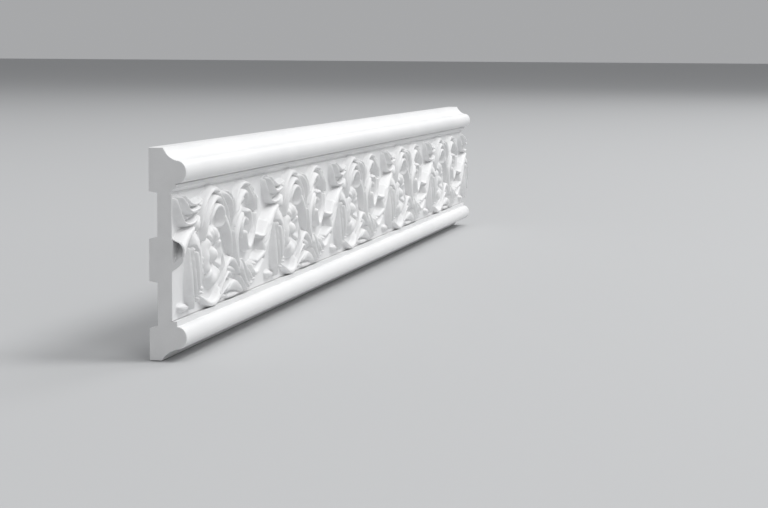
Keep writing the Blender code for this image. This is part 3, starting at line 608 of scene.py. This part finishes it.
def straighten_rim(shape):
    """Puts the sheet's edges back on their lines, and gives the four edges as chains of points."""
    near, far = (EASE - LENGTH / 2) * MM, (LENGTH / 2 - EASE) * MM
    low, high = (FIELD_LOW - MOUNT_HEIGHT) * MM, (FILLET_HIGH - MOUNT_HEIGHT) * MM
    rim = [vert for vert in shape.verts if vert.is_boundary]
    chains = {"near": [], "far": [], "low": [], "high": []}
    for x in (near, far):
        for z in (low, high):
            corner = min(rim, key=lambda vert: (vert.co.x - x) ** 2 + (vert.co.z - z) ** 2)
            corner.co.x, corner.co.z = x, z
    for vert in rim:
        gaps = {"near": vert.co.x - near, "far": far - vert.co.x}
        gaps.update({"low": vert.co.z - low, "high": high - vert.co.z})
        closest = min(abs(gap) for gap in gaps.values())
        for name, gap in gaps.items():
            if abs(gap) <= closest + SAME_PLACE:
                chains[name].append(vert)
    for vert in chains["near"]:
        vert.co.x = near
    for vert in chains["far"]:
        vert.co.x = far
    for name, z, depth in (("low", low, FIELD_DEPTH), ("high", high, FILLET_DEPTH)):
        for vert in chains[name]:
            vert.co.z = z
            vert.co.y = -depth * MM
    for name in ("near", "far"):
        chains[name].sort(key=lambda vert: vert.co.z)
    for name in ("low", "high"):
        chains[name].sort(key=lambda vert: vert.co.x)
    return chains


def mouth_outline():
    """The trumpet's inside where the near end cuts through it, as depth and height."""
    stations = [(depth, up, 0, 0) for depth, up in MOUTH]
    return [tuple(point[:2]) for point in catmull_rom(stations + stations[:1], MOUTH_STEPS)[:-1]]


def hollow_of_trumpet(shape):
    """The walls inside the trumpet, and the edges of its opening in the cut."""
    outline = mouth_outline()
    back = min(depth for depth, up in outline)
    middle = sum(up for depth, up in outline) / len(outline)
    rings = []
    for inward, share, lift in MOUTH_RINGS:
        x = (inward - LENGTH / 2) * MM
        ring = []
        for depth, up in outline:
            out = back + (depth - back) * share
            height = middle + (up - middle) * share + lift
            ring.append(shape.verts.new((x, -out * MM, (height - MOUNT_HEIGHT) * MM)))
        rings.append(ring)
    for near, far in zip(rings, rings[1:]):
        for i in range(len(near)):
            shape.faces.new((near[i - 1], near[i], far[i], far[i - 1])).tag = True
    shape.faces.new(rings[-1]).tag = True
    return [shape.edges.get((rings[0][i - 1], rings[0][i])) for i in range(len(outline))]


def eased_cap(shape, loop, x, opening=()):
    """Closes an end with a flat cut whose edge is eased, round an opening if there is one."""
    count = len(loop)
    flat = [Vector((vert.co.y, vert.co.z)) for vert in loop]
    area = sum(flat[i - 1].cross(flat[i]) for i in range(count))
    turn = 1 if area > 0 else -1
    ring = []
    for i, vert in enumerate(loop):
        before = (flat[i] - flat[i - 1]).normalized()
        after = (flat[(i + 1) % count] - flat[i]).normalized()
        inside = Vector((-before.y - after.y, before.x + after.x)) * turn
        if inside.length > NO_LENGTH:
            inside.normalize()
        place = flat[i] + inside * EASE * MM
        ring.append(shape.verts.new((x, place.x, place.y)))
    for i in range(count):
        shape.faces.new((loop[i - 1], loop[i], ring[i], ring[i - 1]))
    rim = [shape.edges.get((ring[i - 1], ring[i])) for i in range(count)]
    made = bmesh.ops.triangle_fill(shape, use_beauty=True, edges=rim + list(opening))
    for item in made["geom"]:
        if isinstance(item, bmesh.types.BMFace):
            item.material_index = 1


def closed_frieze(sheet):
    """The sheet of carving with the rest of the section and both ends, as one closed mesh."""
    shape = bmesh.new()
    shape.from_mesh(sheet)
    for face in shape.faces:
        face.tag = True
    chains = straighten_rim(shape)
    outline = section_outline()
    near_x, far_x = (EASE - LENGTH / 2) * MM, (LENGTH / 2 - EASE) * MM
    near = [shape.verts.new((near_x, -depth * MM, (up - MOUNT_HEIGHT) * MM)) for depth, up in outline]
    far = [shape.verts.new((far_x, -depth * MM, (up - MOUNT_HEIGHT) * MM)) for depth, up in outline]
    for i in range(len(outline) - 1):
        shape.faces.new((near[i], near[i + 1], far[i + 1], far[i]))
    shape.faces.new(chains["high"] + [far[0], near[0]])
    shape.faces.new(chains["low"] + [far[-1], near[-1]])
    eased_cap(shape, chains["near"] + near, -LENGTH / 2 * MM, hollow_of_trumpet(shape))
    eased_cap(shape, chains["far"] + far, LENGTH / 2 * MM)
    bmesh.ops.recalc_face_normals(shape, faces=shape.faces)
    for edge in shape.edges:
        limit = SHARP_CARVING if all(face.tag for face in edge.link_faces) else SHARP_SECTION
        if max(face.calc_area() for face in edge.link_faces) > BROAD_FACE:
            limit = SHARP_BROAD
        edge.smooth = edge.calc_face_angle(0) < math.radians(limit)
    big = [face for face in shape.faces if len(face.verts) > 4]
    bmesh.ops.triangulate(shape, faces=big, quad_method="BEAUTY", ngon_method="EAR_CLIP")
    for face in shape.faces:
        face.smooth = True
    mesh = bpy.data.meshes.new("frieze_cast")
    shape.to_mesh(mesh)
    shape.free()
    return mesh


# The range of a noise that a ramp's two colours span
CLOUD_LOW = 0.35
CLOUD_HIGH = 0.65


def principled(name, roughness):
    """A new material, its node tree and its shader."""
    material = bpy.data.materials.new(name)
    material.use_nodes = True
    shader = material.node_tree.nodes["Principled BSDF"]
    shader.inputs["Roughness"].default_value = roughness
    return material, material.node_tree, shader


def link_noise(tree, coordinates, scale, detail):
    """A noise over the object's own coordinates."""
    noise = tree.nodes.new("ShaderNodeTexNoise")
    noise.inputs["Scale"].default_value = scale
    noise.inputs["Detail"].default_value = detail
    tree.links.new(coordinates, noise.inputs["Vector"])
    return noise


def ramp_between(tree, value, dark, light):
    """Two colours, mixed by the middle range of a noise."""
    ramp = tree.nodes.new("ShaderNodeValToRGB")
    ramp.color_ramp.elements[0].position = CLOUD_LOW
    ramp.color_ramp.elements[0].color = dark
    ramp.color_ramp.elements[1].position = CLOUD_HIGH
    ramp.color_ramp.elements[1].color = light
    tree.links.new(value, ramp.inputs["Fac"])
    return ramp


def link_grain(tree, shader, grain, strength, distance):
    """A bump of a noise's height, distance metres deep."""
    bump = tree.nodes.new("ShaderNodeBump")
    bump.inputs["Strength"].default_value = strength
    bump.inputs["Distance"].default_value = distance
    tree.links.new(grain.outputs["Fac"], bump.inputs["Height"])
    tree.links.new(bump.outputs["Normal"], shader.inputs["Normal"])


def cast_plaster():
    """Smooth white plaster with a very fine grain and the faintest clouding."""
    material, tree, shader = principled("cast_plaster", roughness=0.48)
    place = tree.nodes.new("ShaderNodeTexCoord").outputs["Object"]
    clouds = link_noise(tree, place, scale=14.0, detail=3.0)
    ramp = ramp_between(tree, clouds.outputs["Fac"], (0.76, 0.762, 0.765, 1), (0.80, 0.80, 0.80, 1))
    tree.links.new(ramp.outputs["Color"], shader.inputs["Base Color"])
    grain = link_noise(tree, place, scale=1400.0, detail=2.0)
    link_grain(tree, shader, grain, strength=0.06, distance=0.0002)
    return material


def cut_plaster_painted_shade():
    """The sawn end: unfinished and a little porous, greyer partly as raw plaster and partly as painted shade
    for an end turned from the light.
    """
    material, tree, shader = principled("cut_plaster_painted_shade", roughness=0.9)
    place = tree.nodes.new("ShaderNodeTexCoord").outputs["Object"]
    clouds = link_noise(tree, place, scale=60.0, detail=4.0)
    # The greyer tone of the end is partly painted shade, for the side that faces away from the lights
    ramp = ramp_between(tree, clouds.outputs["Fac"], (0.72, 0.72, 0.72, 1), (0.76, 0.76, 0.76, 1))
    tree.links.new(ramp.outputs["Color"], shader.inputs["Base Color"])
    grain = link_noise(tree, place, scale=900.0, detail=3.0)
    link_grain(tree, shader, grain, strength=0.15, distance=0.0003)
    return material


def frieze():
    """The dressed moulding, in place of the plain solid."""
    item = bpy.data.objects.new("frieze_cast", closed_frieze(sheet_of_carving()))
    item.data.materials.append(cast_plaster())
    # The second slot is the cut ends' greyer plaster, partly painted shade
    item.data.materials.append(cut_plaster_painted_shade())
    bpy.context.scene.collection.objects.link(item)
    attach(item, "root")
    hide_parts("frieze_section")


# Camera: where the photograph was taken from, in the part's frame
EYE = Vector((-1.66291, -0.40425, 0.12938))
YAW = math.radians(12.41)
PITCH_DOWN = math.radians(5.893)
ROLL = math.radians(0.357)
FOCAL_PIXELS = 1926.656
IMAGE_WIDTH = 768
SENSOR = 36.0
NEAREST_SEEN = 0.01


def camera():
    """Looks from the photograph's viewpoint, with its lens and its tilt."""
    data = bpy.data.cameras.new("camera")
    data.sensor_width = SENSOR
    data.lens = SENSOR * FOCAL_PIXELS / IMAGE_WIDTH
    data.clip_start = NEAREST_SEEN
    item = bpy.data.objects.new("camera", data)
    bpy.context.scene.collection.objects.link(item)
    level = math.cos(PITCH_DOWN)
    ahead = Vector((math.cos(YAW) * level, math.sin(YAW) * level, -math.sin(PITCH_DOWN)))
    right = Vector((math.sin(YAW), -math.cos(YAW), 0))
    up = right.cross(ahead)
    turned_right = math.cos(ROLL) * right + math.sin(ROLL) * up
    turned_up = math.cos(ROLL) * up - math.sin(ROLL) * right
    turn = Matrix((turned_right, turned_up, -ahead)).transposed().to_4x4()
    item.matrix_world = Matrix.Translation(EYE) @ turn
    bpy.context.scene.camera = item


# Studio, in metres
LIGHT_SIZE = 3.2
LIGHT_DISTANCE = 8.0
FLOOR_REACH = 60.0
FLOOR_GAP = 0.0005
FLOOR_COLOUR = (0.46, 0.465, 0.47, 1)
WORLD_COLOUR = (0.97, 0.98, 1.0, 1)
WORLD_STRENGTH = 0.4


def soft_light(name, azimuth, elevation, power):
    """A large disc light aimed at the frieze: azimuth 0 is straight in front, 90 beyond its far end,
    and power is in watts."""
    data = bpy.data.lights.new(name, "AREA")
    data.shape = "DISK"
    data.size = LIGHT_SIZE
    data.energy = power
    item = bpy.data.objects.new(name, data)
    turn, lift = math.radians(azimuth), math.radians(elevation)
    level = math.cos(lift)
    toward = Vector((math.sin(turn) * level, -math.cos(turn) * level, math.sin(lift)))
    item.location = LIGHT_DISTANCE * toward
    item.rotation_euler = (-item.location).to_track_quat("-Z", "Y").to_euler()
    bpy.context.scene.collection.objects.link(item)


def studio():
    """A pale floor, a pale surround and large soft lights."""
    scene = bpy.context.scene
    scene.view_settings.view_transform = "Standard"
    world = bpy.data.worlds.new("studio")
    scene.world = world
    world.use_nodes = True
    background = world.node_tree.nodes["Background"]
    background.inputs["Color"].default_value = WORLD_COLOUR
    background.inputs["Strength"].default_value = WORLD_STRENGTH
    floor_mesh = bpy.data.meshes.new("floor")
    shape = bmesh.new()
    bmesh.ops.create_grid(shape, x_segments=1, y_segments=1, size=FLOOR_REACH)
    shape.to_mesh(floor_mesh)
    shape.free()
    floor = bpy.data.objects.new("floor", floor_mesh)
    floor.location.z = cad_low.z - FLOOR_GAP
    material, tree, shader = principled("floor", roughness=0.8)
    shader.inputs["Base Color"].default_value = FLOOR_COLOUR
    floor_mesh.materials.append(material)
    scene.collection.objects.link(floor)
    soft_light("key", azimuth=10, elevation=55, power=300)
    soft_light("overhead", azimuth=0, elevation=85, power=180)
    soft_light("far_side", azimuth=70, elevation=35, power=90)
    soft_light("low_front", azimuth=45, elevation=15, power=50)
    soft_light("near_side", azimuth=-50, elevation=40, power=90)


frieze()
camera()
studio()
